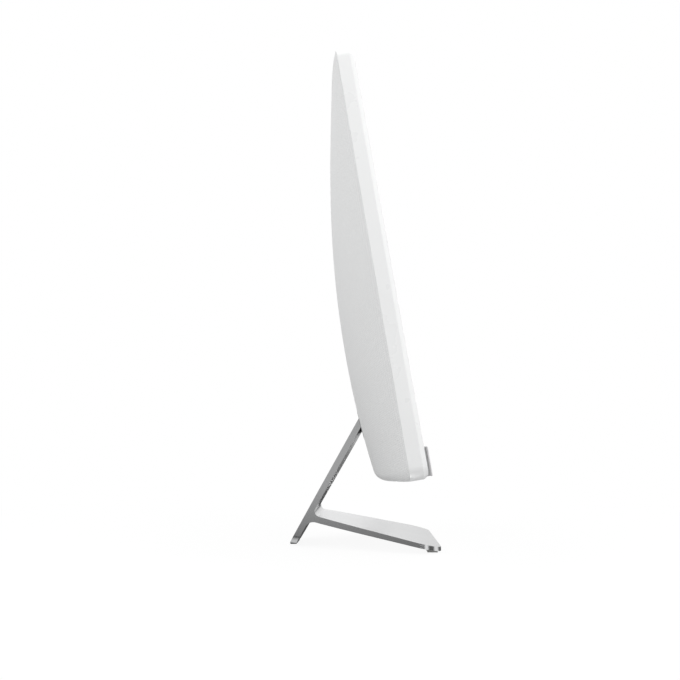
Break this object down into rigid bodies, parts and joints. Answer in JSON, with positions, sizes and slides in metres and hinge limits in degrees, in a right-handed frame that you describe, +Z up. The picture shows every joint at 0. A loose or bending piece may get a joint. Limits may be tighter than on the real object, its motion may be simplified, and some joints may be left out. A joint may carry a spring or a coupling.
{
  "type": "all in one computer",
  "caption": "All-in-one desktop computer: slim white display head with a domed back and front sound bar, tilting on a one-piece aluminium lambda stand.",
  "frame": {"origin": "centre of the footprint at desk level", "axes": "+X along the display's width, -Y the way the screen faces, +Z up"},
  "size_m": [0.54, 0.1566, 0.421],
  "materials": {
    "stand_aluminium": "satin, finely brushed",
    "pad_rubber": "matt",
    "hinge_steel": "satin",
    "spring_bronze": "satin",
    "black_screw_steel": "black oxide",
    "white_frame_plastic": "smooth satin white",
    "cover_plastic": "fine woven texture moulded in",
    "screen_glass": "clear over black, switched off",
    "panel_black": "dark",
    "diffuser_film": "milky",
    "light_guide_acrylic": "clear acrylic",
    "led_strip": "white board with yellow phosphor",
    "zinc_steel": "zinc plated",
    "foam_grey": "matt foam",
    "board_green": "solder mask",
    "dark_plastic": "matt",
    "grille_aluminium": "fine grey metal cloth",
    "speaker_cone": "matt",
    "lens_glass": "polished",
    "standoff_brass": "bright",
    "chip_package": "matt",
    "copper": "bare copper",
    "fin_aluminium": "bare",
    "socket_shell": "bright plated",
    "cable_film": "amber film",
    "cable_black": "matt"
  },
  "bodies": {
    "stand": {"stand_frame": "stand_aluminium", "front_foot_pads": "pad_rubber", "rear_foot_pad": "pad_rubber", "hinge_leaf": "hinge_steel", "leaf_screws": "black_screw_steel", "hinge_shafts": "hinge_steel", "friction_washers": "spring_bronze", "hinge_nuts": "hinge_steel"},
    "display": {"middle_frame": "white_frame_plastic", "screen_glass": "screen_glass", "lcd_cell": "panel_black", "diffuser_sheets": "diffuser_film", "light_guide": "light_guide_acrylic", "led_strip": "led_strip", "panel_tray": "zinc_steel", "panel_spacers": "foam_grey", "timing_board": "board_green", "sound_bar_housing": "dark_plastic", "sound_bar_grille": "grille_aluminium", "speaker_box_left": "dark_plastic", "speaker_box_right": "dark_plastic", "speaker_drivers": "speaker_cone", "webcam_board": "board_green", "webcam_lens": "lens_glass", "back_cover": "cover_plastic", "port_bay": "dark_plastic", "hinge_cavity": "dark_plastic", "chassis_plate": "zinc_steel", "chassis_screws": "black_screw_steel", "hinge_brackets": "hinge_steel", "bracket_screws": "black_screw_steel", "mainboard": "board_green", "board_standoffs": "standoff_brass", "board_screws": "zinc_steel", "processor": "chip_package", "heat_block": "copper", "heat_pipes": "copper", "fin_stack": "fin_aluminium", "fan_housing": "dark_plastic", "fan_lid": "dark_plastic", "memory_sockets": "dark_plastic", "memory_modules": "board_green", "solid_state_drive": "board_green", "wireless_card": "board_green", "antennas": "standoff_brass", "coin_cell": "socket_shell", "board_components": "dark_plastic", "hard_drive": "zinc_steel", "drive_caddy": "zinc_steel", "usb_ports": "socket_shell", "hdmi_port": "socket_shell", "lan_port": "socket_shell", "dc_jack": "dark_plastic", "audio_jack": "dark_plastic", "button_board": "board_green", "display_cable": "cable_film", "speaker_cables": "cable_black"},
    "fan": {"fan_impeller": "dark_plastic"},
    "power_key": {"power_button": "white_frame_plastic"}
  },
  "joints": [
    {"name": "display_tilt", "type": "hinge", "parent": "stand", "child": "display", "pos_m": [0, -0.00511, 0.13956], "axis": [-1, 0, 0], "range_deg": [-14, 16]},
    {"name": "fan_spin", "type": "hinge", "parent": "display", "child": "fan", "pos_m": [-0.07, 0.00337, 0.30811], "axis": [0, 0.9877, -0.1564], "continuous": true},
    {"name": "power_press", "type": "slide", "parent": "display", "child": "power_key", "axis": [0, 0.1564, 0.9877], "range_m": [0, 0.0007], "stiffness_N_per_m": 1500, "springref_m": -0.0005}
  ]
}
